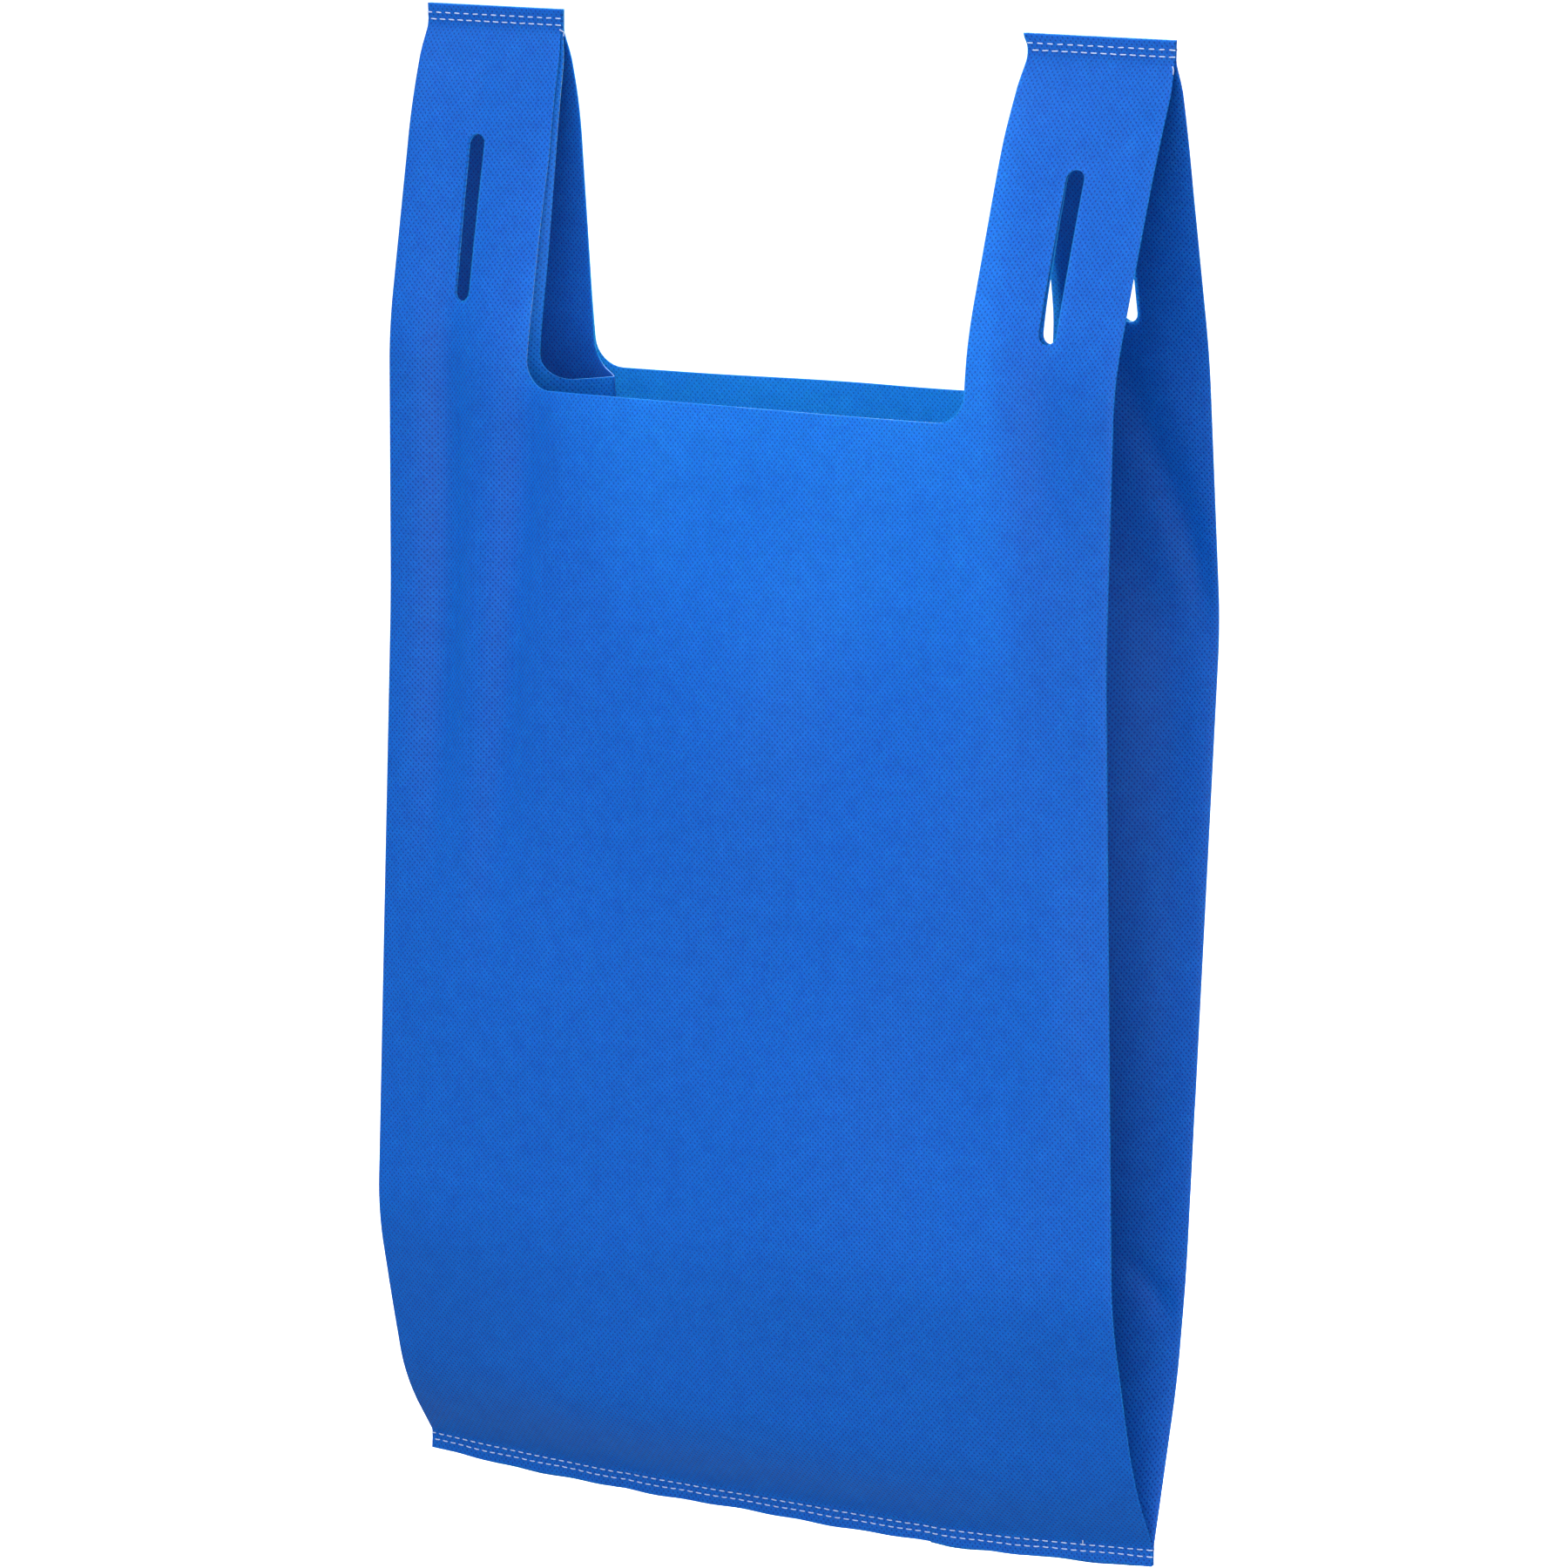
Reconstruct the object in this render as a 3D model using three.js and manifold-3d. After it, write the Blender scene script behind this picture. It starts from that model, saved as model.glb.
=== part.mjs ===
// Non-woven polypropylene vest bag, hanging open from its two handles.
// Millimetres, +X along the hem, +Y from the front panel to the back panel, +Z up.
// The origin lies midway between the tops of the two handles.
// One gusseted tube of cloth is sewn shut along the hem, and a neck and hand slots are punched
// through its four layers, which leaves a handle loop on each side, sewn flat along its top.

import * as THREE from 'three';
import { mergeVertices } from 'three/addons/utils/BufferGeometryUtils.js';
import Module from 'manifold-3d';

// Cloth as cut and folded
const panelWidth = 350;
const gussetDepth = 100;
const clothThickness = 0.5;
const layerPitch = 0.8;

// Neck and slots, punched through all four layers
const strapWidth = 68;
const neckDepth = 154;
const neckRadius = 16;
const slotDrop = 52;
const slotLength = 68;
const slotWidth = 8;

// Sewn bands and their two rows of lockstitch
const hemBand = 8.5;
const handleBand = 9;
const hemRowHeight = 3.5;
const handleRowDrop = 4;
const rowPitch = 3;
const threadDiameter = 0.7;
const threadClearance = 0.3;
const threadEndInset = 1.5;
const bondRecess = 1;

// Hung shape: heights above the hem where the cloth bends, and the length of a bend to either side
const hungHeight = 635;
const footHeight = 38;
const baseHeight = 118;
const bellyHeight = 405;
const shoulderHeight = 502;
const bendLength = 18;

// Hung shape: how far the side folds reach from the plane of the seams, and how the panels bow
const footFrontReach = 18;
const frontReach = 43;
const footBackReach = 7;
const baseBackReach = 28;
const bellyBackReach = 64;
const shoulderBackReach = 47;
const sideDraw = 7;
const bellyBackLean = 10;
const shoulderBackLean = 13;
const backOverhang = 8;
const hemBow = 8;
const hemSag = 3;
const panelBow = 4;
const gussetFlare = 1.3;
const crookMargin = 4;

// Fineness of the cloth's mesh
const panelSteps = 15;
const strapLayerSteps = 3;
const foldSteps = 3;
const bendRows = 3;
const longestRow = 64;
const bendSamples = 4;
const slotArcSteps = 6;
const neckArcSteps = 5;
const threadSides = 8;
const threadSteps = 6;

const neckHeight = hungHeight - neckDepth;
const handleBandHeight = hungHeight - handleBand;
const foldRadius = layerPitch / 2;
const crook = strapWidth + crookMargin;

// The cloth hangs in straight runs between these heights, with a soft bend at each of them.
const bendHeights = [hemBand, footHeight, baseHeight, bellyHeight, shoulderHeight, handleBandHeight];

function hang(values) {
  const runs = new THREE.LinearInterpolant(bendHeights, values, 1, new Float64Array(1));
  return (height) => {
    const middle = THREE.MathUtils.clamp(height, hemBand, handleBandHeight);
    const reach = Math.min(bendLength, middle - hemBand, handleBandHeight - middle);
    let total = 0;
    for (let i = -bendSamples; i <= bendSamples; i++) {
      total += runs.evaluate(middle + reach * i / bendSamples)[0];
    }
    return total / (2 * bendSamples + 1);
  };
}

const draw = hang([0, 0, 0, sideDraw, sideDraw, 0]);
const frontFold = hang([0, footFrontReach, frontReach, frontReach, frontReach, 0]);
const backFold = hang([0, footBackReach, baseBackReach, bellyBackReach, shoulderBackReach, 0]);
const backLean = hang([0, 0, 0, bellyBackLean, shoulderBackLean, 0]);
const overhang = hang([0, 0, 0, backOverhang, backOverhang, 0]);
const hemForward = hang([hemBow, hemBow, 0, 0, 0, 0]);
const hemDrop = hang([hemSag, hemSag, 0, 0, 0, 0]);
const frontBow = hang([0, panelBow, panelBow, panelBow, panelBow, 0]);
const flare = hang([0, 0, 0, 0, gussetFlare, gussetFlare]);

function halfWidth(height) {
  return panelWidth / 2 - draw(height);
}

function crown(x, height) {
  return 1 - (x / halfWidth(height)) ** 2;
}

// A half turn of cloth about a fold line, from the layer in front of it to the layer behind it.
function foldTurn(centre, side) {
  const points = [];
  for (let i = 0; i <= foldSteps; i++) {
    const angle = Math.PI * (i / foldSteps - 0.5);
    const reach = foldRadius * Math.cos(angle) * side;
    points.push(new THREE.Vector2(centre.x + reach, centre.y + foldRadius * Math.sin(angle)));
  }
  return points;
}

// One side of the tube at a height, from the front panel's fold through the gusset to the back panel's.
// The gusset's halves bend at the strap's width, where the neck's corner lets the strap part from the gusset.
function gussetSide(height, side) {
  const width = halfWidth(height) - foldRadius;
  const front = new THREE.Vector2(side * width, -layerPitch - frontFold(height));
  const back = new THREE.Vector2(side * width, layerPitch + backFold(height));
  if (side < 0) {
    back.x -= overhang(height);
    back.y -= 2 * backLean(height);
  }
  const across = new THREE.Vector2(0, 1);
  const inward = new THREE.Vector2(-side, 0);
  const span = (back.y - front.y) / 2 - layerPitch;
  const innerDepth = gussetDepth - crook;
  const innerAngle = Math.asin(span / gussetDepth) * (1 + flare(height));
  const innerRun = innerDepth * Math.cos(innerAngle);
  const strapRise = span - innerDepth * Math.sin(innerAngle);
  const strapRun = Math.sqrt(crook ** 2 - strapRise ** 2);
  const innerFold = front.clone().lerp(back, 0.5).addScaledVector(inward, strapRun + innerRun);

  const half = (fold, direction) => {
    const start = fold.clone().addScaledVector(across, direction * foldRadius);
    const points = [];
    for (let i = 1; i <= strapLayerSteps; i++) {
      const share = i / strapLayerSteps;
      const point = start.clone().addScaledVector(inward, strapRun * share);
      points.push(point.addScaledVector(across, direction * strapRise * share));
    }
    return points;
  };
  return [
    ...foldTurn(front, side),
    ...half(front, 1),
    ...foldTurn(innerFold, -side),
    ...half(back, -1).reverse(),
    ...foldTurn(back, side),
  ];
}

// Points of a panel strictly between its two side folds.
function panelPoints(from, to, height, forward) {
  const points = [];
  for (let i = 1; i < panelSteps; i++) {
    const point = from.clone().lerp(to, i / panelSteps);
    point.y -= forward * crown(point.x, height);
    points.push(point);
  }
  return points;
}

// The middle line of the cloth around the tube at a height, seen from above, anticlockwise.
function section(height) {
  const right = gussetSide(height, 1);
  const left = gussetSide(height, -1).reverse();
  return [
    ...panelPoints(left.at(-1), right[0], height, frontBow(height)),
    ...right,
    ...panelPoints(right.at(-1), left[0], height, 0),
    ...left,
  ];
}

// The hem bows forward and sags between its ends, and takes all that is sewn into it along.
function settle(geometry) {
  const position = geometry.attributes.position;
  for (let i = 0; i < position.count; i++) {
    const height = position.getZ(i);
    const share = crown(position.getX(i), height);
    position.setY(i, position.getY(i) - hemForward(height) * share);
    position.setZ(i, height - hemDrop(height) * share);
  }
  return geometry;
}

// Moves a closed loop sideways by a distance, outwards if it is positive.
function offsetLoop(loop, distance) {
  return loop.map((point, i) => {
    const before = point.clone().sub(loop.at(i - 1)).normalize();
    const after = loop[(i + 1) % loop.length].clone().sub(point).normalize();
    const normal = new THREE.Vector2(before.y + after.y, -before.x - after.x).normalize();
    const mitre = normal.x * before.y - normal.y * before.x;
    return point.clone().addScaledVector(normal, distance / mitre);
  });
}

// Rows of the mesh: close together through each bend, and far apart along the straight runs.
function rowHeights() {
  const marks = [hemBand];
  for (const bend of bendHeights.slice(1, -1)) {
    for (let i = 0; i <= bendRows; i++) {
      marks.push(bend + bendLength * (2 * i / bendRows - 1));
    }
  }
  marks.push(handleBandHeight);
  const rows = [0];
  for (let i = 1; i < marks.length; i++) {
    const count = Math.ceil((marks[i] - marks[i - 1]) / longestRow);
    for (let j = 0; j < count; j++) {
      rows.push(THREE.MathUtils.lerp(marks[i - 1], marks[i], j / count));
    }
  }
  return [...rows, handleBandHeight, hungHeight];
}

// The whole tube before anything is punched out of it: an outer and an inner wall, joined at both ends.
function clothTube() {
  const rows = rowHeights();
  const positions = [];
  const walls = [clothThickness / 2, -clothThickness / 2];
  for (const distance of walls) {
    for (const height of rows) {
      for (const point of offsetLoop(section(height), distance)) {
        positions.push(point.x, point.y, height);
      }
    }
  }
  const around = section(0).length;
  const wallSize = around * rows.length;
  const indices = [];
  const addQuad = (a, b, c, d) => indices.push(a, b, c, a, c, d);
  const addQuadFacingIn = (a, b, c, d) => indices.push(a, c, b, a, d, c);
  const lastRow = around * (rows.length - 1);
  for (let i = 0; i < around; i++) {
    const next = (i + 1) % around;
    for (let row = 0; row < lastRow; row += around) {
      addQuad(row + i, row + next, row + around + next, row + around + i);
      const inner = row + wallSize;
      addQuadFacingIn(inner + i, inner + next, inner + around + next, inner + around + i);
    }
    addQuad(next, i, wallSize + i, wallSize + next);
    addQuad(lastRow + i, lastRow + next, lastRow + wallSize + next, lastRow + wallSize + i);
  }
  const geometry = new THREE.BufferGeometry();
  geometry.setAttribute('position', new THREE.Float32BufferAttribute(positions, 3));
  geometry.setIndex(indices);
  return settle(geometry);
}

// What presses a band's four layers into one, from the middle of the front panel to that of the back.
function bandBond(low, high) {
  const width = panelWidth - 2 * foldRadius;
  const bond = new THREE.BoxGeometry(width, 3 * layerPitch, high - low, panelSteps, 1, 1);
  return settle(bond.translate(0, 0, (low + high) / 2));
}

// A punch runs straight through the layers on one face of the bag and just past the plane of the seams.
// Its outline's y is the height.
function punch(shape, face, curveSegments) {
  const depth = 2 * gussetDepth;
  const past = (layerPitch - clothThickness) / 4;
  const geometry = new THREE.ExtrudeGeometry(shape, { depth, curveSegments, bevelEnabled: false });
  return geometry.rotateX(Math.PI / 2).translate(0, face > 0 ? depth - past : past, 0);
}

// How far out the outer fold of a strap lies at a height.
function strapFold(height, side, face) {
  return halfWidth(height) + (side < 0 && face > 0 ? overhang(height) : 0);
}

function neckPunch(face) {
  const overTop = hungHeight + neckRadius;
  const cornerTop = neckHeight + neckRadius;
  const edge = (height, side) => side * (strapFold(height, side, face) - strapWidth);
  const leftFoot = edge(neckHeight, -1);
  const rightFoot = edge(neckHeight, 1);
  const shape = new THREE.Shape();
  shape.moveTo(edge(overTop, -1), overTop);
  shape.lineTo(edge(handleBandHeight, -1), handleBandHeight);
  shape.lineTo(edge(cornerTop, -1), cornerTop);
  shape.quadraticCurveTo(leftFoot, neckHeight, leftFoot + neckRadius, neckHeight);
  shape.lineTo(rightFoot - neckRadius, neckHeight);
  shape.quadraticCurveTo(rightFoot, neckHeight, edge(cornerTop, 1), cornerTop);
  shape.lineTo(edge(handleBandHeight, 1), handleBandHeight);
  shape.lineTo(edge(overTop, 1), overTop);
  return punch(shape, face, neckArcSteps);
}

// A round-ended slot along the middle of a strap.
function slotPunch(face, side) {
  const radius = slotWidth / 2;
  const straight = slotLength / 2 - radius;
  const shape = new THREE.Shape();
  shape.absarc(0, straight, radius, 0, Math.PI);
  shape.absarc(0, -straight, radius, Math.PI, 2 * Math.PI);
  const height = hungHeight - slotDrop - slotLength / 2;
  const fold = strapFold(height, side, face);
  const tilt = Math.atan2(halfWidth(hungHeight) - fold, hungHeight - height);
  const geometry = punch(shape, face, slotArcSteps);
  geometry.rotateY(side * tilt);
  return geometry.translate(side * (fold - strapWidth / 2), 0, height);
}

// Joining and cutting
const wasm = await Module();
wasm.setup();

function solid(geometry) {
  const bare = geometry.clone();
  bare.deleteAttribute('normal');
  bare.deleteAttribute('uv');
  const merged = mergeVertices(bare);
  const vertProperties = new Float32Array(merged.attributes.position.array);
  const triVerts = new Uint32Array(merged.index.array);
  return new wasm.Manifold(new wasm.Mesh({ numProp: 3, vertProperties, triVerts }));
}

function geometryOf(manifold) {
  const mesh = manifold.getMesh();
  const geometry = new THREE.BufferGeometry();
  geometry.setAttribute('position', new THREE.BufferAttribute(mesh.vertProperties, 3));
  geometry.setIndex(new THREE.BufferAttribute(mesh.triVerts, 1));
  geometry.computeVertexNormals();
  return geometry;
}

function bagBody() {
  const hemBond = bandBond(bondRecess, hemBand - bondRecess);
  const handleBond = bandBond(handleBandHeight + bondRecess, hungHeight - bondRecess);
  let body = solid(clothTube()).add(solid(hemBond)).add(solid(handleBond));
  for (const face of [-1, 1]) {
    for (const tool of [neckPunch(face), slotPunch(face, 1), slotPunch(face, -1)]) {
      body = body.subtract(solid(tool));
    }
  }
  return geometryOf(body);
}

// One thread of a row of lockstitch, along the face of the front or the back panel.
function threadRow(height, from, to, face) {
  const radius = threadDiameter / 2;
  const standOff = 1.5 * layerPitch + clothThickness / 2 + threadClearance + radius;
  const points = [];
  for (let i = 0; i <= threadSteps; i++) {
    const x = THREE.MathUtils.lerp(from, to, i / threadSteps);
    points.push(new THREE.Vector3(x, face * standOff, height));
  }
  const ring = [];
  for (let i = 0; i < threadSides; i++) {
    const angle = 2 * Math.PI * i / threadSides;
    ring.push(new THREE.Vector2(radius * Math.cos(angle), radius * Math.sin(angle)));
  }
  const extrudePath = new THREE.CatmullRomCurve3(points);
  return settle(new THREE.ExtrudeGeometry(new THREE.Shape(ring), { steps: threadSteps, extrudePath }));
}

// Assembly
const cloth = new THREE.MeshStandardMaterial({ color: 0x1c62ca, roughness: 0.85, metalness: 0 });
const thread = new THREE.MeshStandardMaterial({ color: 0xdfe7f4, roughness: 0.7, metalness: 0 });

const bag = new THREE.Group();
bag.name = 'non_woven_vest_bag';
bag.position.z = -hungHeight;

function addPiece(name, geometry, material) {
  const mesh = new THREE.Mesh(geometry, material);
  mesh.name = name;
  bag.add(mesh);
}

addPiece('bag_body', bagBody(), cloth);

const outerEnd = panelWidth / 2 - threadEndInset;
const innerEnd = panelWidth / 2 - strapWidth + threadEndInset;
const handleRow = hungHeight - handleRowDrop;
const seams = [
  { name: 'hem', from: -outerEnd, to: outerEnd, upper: hemRowHeight + rowPitch },
  { name: 'left_handle', from: -outerEnd, to: -innerEnd, upper: handleRow },
  { name: 'right_handle', from: innerEnd, to: outerEnd, upper: handleRow },
];
const faces = [
  { name: 'needle_thread', face: -1 },
  { name: 'bobbin_thread', face: 1 },
];
for (const { name, from, to, upper } of seams) {
  for (const { name: kind, face } of faces) {
    addPiece(`${name}_upper_${kind}`, threadRow(upper, from, to, face), thread);
    addPiece(`${name}_lower_${kind}`, threadRow(upper - rowPitch, from, to, face), thread);
  }
}

export default bag;
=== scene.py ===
import math

import bmesh
import bpy
import numpy as np
from mathutils import Matrix, Vector
from mathutils.geometry import delaunay_2d_cdt
from mathutils.kdtree import KDTree


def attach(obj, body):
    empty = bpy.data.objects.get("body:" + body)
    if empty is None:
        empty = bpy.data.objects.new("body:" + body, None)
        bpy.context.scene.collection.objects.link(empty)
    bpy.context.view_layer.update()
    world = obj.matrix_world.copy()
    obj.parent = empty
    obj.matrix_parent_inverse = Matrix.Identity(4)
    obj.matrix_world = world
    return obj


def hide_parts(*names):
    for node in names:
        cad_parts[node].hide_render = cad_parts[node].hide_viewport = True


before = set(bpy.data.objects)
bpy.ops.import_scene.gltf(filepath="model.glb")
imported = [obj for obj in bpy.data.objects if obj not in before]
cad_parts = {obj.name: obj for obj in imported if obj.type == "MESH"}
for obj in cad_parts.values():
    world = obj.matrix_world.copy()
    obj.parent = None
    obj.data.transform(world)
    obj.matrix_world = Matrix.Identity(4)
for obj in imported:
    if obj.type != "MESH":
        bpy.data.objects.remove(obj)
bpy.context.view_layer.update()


# Bag cloth, as cut: one sheet of spunbond polypropylene, folded into a tube with two side gussets.
# A die punches the neck and the hand slots through all four layers at once, which leaves four straps,
# each centred on an outer fold line. Metres, around the tube (u) and up from the hem (v).
panel_width = 0.350
gusset_depth = 0.100
hung_height = 0.635
strap_width = 0.068
neck_height = hung_height - 0.154
neck_radius = 0.012
slot_width = 0.008
slot_foot = hung_height - 0.120
slot_top = hung_height - 0.052

left_front = gusset_depth
right_front = left_front + panel_width
right_inner = right_front + gusset_depth
right_back = right_inner + gusset_depth
left_back = right_back + panel_width
girth = left_back + gusset_depth
strap_folds = (left_front, right_front, right_back, left_back)
fold_lines = (0.0, *strap_folds[:2], right_inner, *strap_folds[2:], girth)

mesh_step = 0.0042
grid_margin = 0.3 * mesh_step
cut_clearance = 0.25 * mesh_step
fold_offsets = (0.0004, 0.0009, 0.0018)
arc_steps = 8
columns = set()
for start, end in zip(fold_lines, fold_lines[1:]):
    columns.update(np.linspace(start, end, round((end - start) / mesh_step) + 1).round(6))
for line in fold_lines:
    for offset in fold_offsets:
        columns.update(round(c, 6) for c in (line - offset, line + offset) if 0 <= c <= girth)
columns = sorted(columns)

# Rows stand closer together in the two sewn bands.
hem_rows_end = 0.012
hem_rows_step = 0.0015
handle_rows_start = 0.622
handle_rows_count = 8
middle_steps = round((handle_rows_start - hem_rows_end) / mesh_step)
hem_rows = np.arange(0, hem_rows_end, hem_rows_step)
middle_rows = np.linspace(hem_rows_end, handle_rows_start, middle_steps + 1)
handle_rows = np.linspace(handle_rows_start, hung_height, handle_rows_count + 1)[1:]
rows = [*hem_rows, *middle_rows, *handle_rows]


def arc(u, v, radius, start, end):
    """Points of an arc about (u, v), between two angles in degrees."""
    angles = np.radians(np.linspace(start, end, arc_steps + 1))
    return [(u + radius * math.cos(a), v + radius * math.sin(a)) for a in angles]


def along_grid(corners):
    """A closed outline with a point added wherever one of its level or upright edges crosses the grid."""
    points = []
    for (u, v), (next_u, next_v) in zip(corners, corners[1:] + corners[:1]):
        points.append((u, v))
        low_u, high_u = sorted((u, next_u))
        low_v, high_v = sorted((v, next_v))
        if math.isclose(v, next_v, abs_tol=1e-9):
            between = [(c, v) for c in columns if low_u + grid_margin < c < high_u - grid_margin]
            points += between if next_u > u else between[::-1]
        elif math.isclose(u, next_u, abs_tol=1e-9):
            between = [(u, r) for r in rows if low_v + grid_margin < r < high_v - grid_margin]
            points += between if next_v > v else between[::-1]
    return points


sheet_edge = [(0.0, 0.0), (girth, 0.0), (girth, neck_height)]
for fold in reversed(strap_folds):
    corner_v = neck_height + neck_radius
    outer_u, inner_u = fold + strap_width, fold - strap_width
    sheet_edge += arc(outer_u + neck_radius, corner_v, neck_radius, 270, 180)
    sheet_edge += [(outer_u, hung_height), (inner_u, hung_height)]
    sheet_edge += arc(inner_u - neck_radius, corner_v, neck_radius, 0, -90)
sheet_edge.append((0.0, neck_height))

slot_places = [fold + side * strap_width / 2 for fold in strap_folds for side in (-1, 1)]
slot_ends = (slot_foot + slot_width / 2, slot_top - slot_width / 2)
slot_edges = []
for slot_u in slot_places:
    slot = arc(slot_u, slot_ends[1], slot_width / 2, 0, 180)
    slot += arc(slot_u, slot_ends[0], slot_width / 2, 180, 360)
    slot_edges.append(slot)

cut_loops = [along_grid(loop) for loop in (sheet_edge, *slot_edges)]
cut_points = [point for loop in cut_loops for point in loop]
cut_tree = KDTree(len(cut_points))
for index, (u, v) in enumerate(cut_points):
    cut_tree.insert((u, v, 0), index)
cut_tree.balance()


def on_sheet(u, v):
    """True where the die leaves the cloth standing."""
    beside = min(abs(u - fold) for fold in strap_folds) - strap_width
    above = v - neck_height
    if beside > 0 and above > 0:
        corner = (min(beside, neck_radius), min(above, neck_radius))
        return math.dist(corner, (neck_radius, neck_radius)) > neck_radius
    nearest_v = min(max(v, slot_ends[0]), slot_ends[1])
    return all(math.dist((u, v), (slot_u, nearest_v)) > slot_width / 2 for slot_u in slot_places)


def clear_of_cuts(u, v):
    """True where a grid point doesn't crowd a cut edge."""
    return cut_tree.find((u, v, 0))[2] > cut_clearance


grid = [(u, v) for u in columns for v in rows if on_sheet(u, v) and clear_of_cuts(u, v)]
cut_indices = iter(range(len(cut_points)))
cut_faces = [[next(cut_indices) for _ in loop] for loop in cut_loops]
flat_points, _, flat_faces, *_ = delaunay_2d_cdt(
    [Vector(point) for point in cut_points + grid], [], cut_faces, 0, 1e-7, False
)
cloth_faces = [
    face for face in flat_faces if on_sheet(*(sum((flat_points[i] for i in face), Vector((0, 0))) / 3))
]
flat = np.array(flat_points)


# Bag cloth, as it hangs: straight runs with a bend at the foot, the base, the belly, the shoulder and the
# handle, the front and back folds apart between the two sewn bands, the gussets folded in between them.
# The back panel leans to the front on the left, and the hem bows and sags between its ends.
cloth_thickness = 0.0005
layer_pitch = 0.0008
fold_radius = layer_pitch / 2
fold_turn = fold_radius * math.pi / 2  # half of the flat length that a pressed fold takes to turn round
hem_band = 0.0085
row_pitch = 0.0028
hem_row = 0.0041
handle_row = hung_height - 0.0039
handle_band_height = hung_height - 0.009
bend_length = 0.014
bend_heights = (hem_band, 0.038, 0.072, 0.118, 0.388, 0.502, 0.592, handle_band_height)
crook = strap_width + 0.004  # where a gusset half bends, from its fold
crook_shares = (0.3, 0.55, 0.8)
crook_power = 2.8
crook_draw = 0.6  # how much reach a half loses as it curves away from its panel
letting_go = (0.060, 0.095)  # where a gusset half stops following its panel, from their fold


def smooth(value, low, high):
    """Eased step from 0 at low to 1 at high."""
    t = np.clip((value - low) / (high - low), 0, 1)
    return t * t * (3 - 2 * t)


def at_bends(height, *values):
    """A measure of the hung shape at some heights, from its values at the bends."""
    middle = np.clip(height, bend_heights[0], bend_heights[-1])
    room = np.minimum(middle - bend_heights[0], bend_heights[-1] - middle)
    reach = np.minimum(bend_length, room)
    samples = [np.interp(middle + reach * k, bend_heights, values) for k in np.linspace(-1, 1, 9)]
    return np.mean(samples, axis=0)


def hang(height, *millimetres):
    """The same for a length, given in millimetres at the bends."""
    return at_bends(height, *millimetres) / 1000


def on_panels(u):
    """True on the front and the back panel, and not on the gussets."""
    return ((u > left_front) & (u < right_front)) | ((u > right_back) & (u < left_back))


def half_width(height):
    """From the bag's middle to its side folds."""
    return panel_width / 2 - hang(height, 0, 0, 0, 0, 7, 7, 2, 0)


def crown(x, height):
    """1 in the middle of a panel, falling in a curve to 0 at its side folds."""
    return 1 - (x / half_width(height)) ** 2


def gusset(height, side):
    """Corners of one gusset from its front fold to its back fold, each as (from the front fold, x, y).

    Each half lies close to its panel near the fold, parts from it in a curve up to the strap's edge,
    and turns more steeply there to the inner fold.
    """
    width = half_width(height) - fold_radius
    back_y = layer_pitch + hang(height, 0, 9.6, 21, 28.5, 66, 47, 15, 0)
    lean = hang(height, 0, 0, 0, 0, 20, 24, 3, 0)
    flare = at_bends(height, 0, 0.3, 0.4, 0.5, 0.5, 2.0, 1.5, 1.5)
    if side > 0:
        front_x = width + hang(height, 0, 0, 0, 0, 0, 1.7, 0.3, 0)
        back_x = front_x
        front_y = -layer_pitch - hang(height, 0, 18, 29, 43, 43, 43, 13, 0)
        front_share = at_bends(height, 0.5, 0.5, 0.5, 0.5, 0.5, 0.77, 0.8, 0.8)
    else:
        front_x = -width
        back_x = front_x - hang(height, 0, 0, 0, 0, 8, 9, 2.5, 0)
        front_y = -layer_pitch - hang(height, 0, 23, 33, 45, 43, 43, 16, 0)
        back_y = back_y - lean
        front_share = at_bends(height, 0.5, 0.5, 0.5, 0.5, 0.6, 0.98, 1, 1)
    span = (back_y - front_y) / 2 - layer_pitch
    back_slope = -side * lean / panel_width
    inner_depth = gusset_depth - crook
    inner_angle = np.arcsin(span / gusset_depth) * (1 + flare)
    parting = 2 * (span - inner_depth * np.sin(inner_angle)) + back_slope * crook
    halves = []
    for fold_x, fold_y, slope, gap in (
        (front_x, front_y + fold_radius, 0, parting * front_share),
        (back_x, back_y - fold_radius, back_slope, -parting * (1 - front_share)),
    ):
        run = crook - crook_draw * gap**2 / crook
        halves.append([
            (
                share * crook,
                fold_x - side * share * run,
                fold_y + slope * share * crook + gap * share**crook_power,
            )
            for share in (0, *crook_shares, 1)
        ])
    (_, front_crook_x, front_crook_y), (_, back_crook_x, back_crook_y) = halves[0][-1], halves[1][-1]
    inner_x = (front_crook_x + back_crook_x) / 2 - side * inner_depth * np.cos(inner_angle)
    inner_y = (front_crook_y + back_crook_y) / 2
    return [
        *halves[0],
        (gusset_depth - fold_turn, inner_x, inner_y - fold_radius),
        (gusset_depth + fold_turn, inner_x, inner_y + fold_radius),
        *[(2 * gusset_depth - depth, x, y) for depth, x, y in reversed(halves[1])],
    ]


# Small forms of the hung cloth: how softly its folds turn, how far the straps' free edges curl, and what
# the seams do to the handle tops and to the hem's raw edge.
opening_length = 0.06
sewn_ease = 0.0004
open_ease = 0.0012
widest_ease = 0.007
ease_share = 0.3
left_curl = 0.006
right_curl = 0.003
back_curl = 0.005
top_flare = 0.002
top_gather = 0.04
edge_waver = 0.0003
long_waver = 0.083
short_waver = 0.029
gusset_overhang = 0.0006


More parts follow.
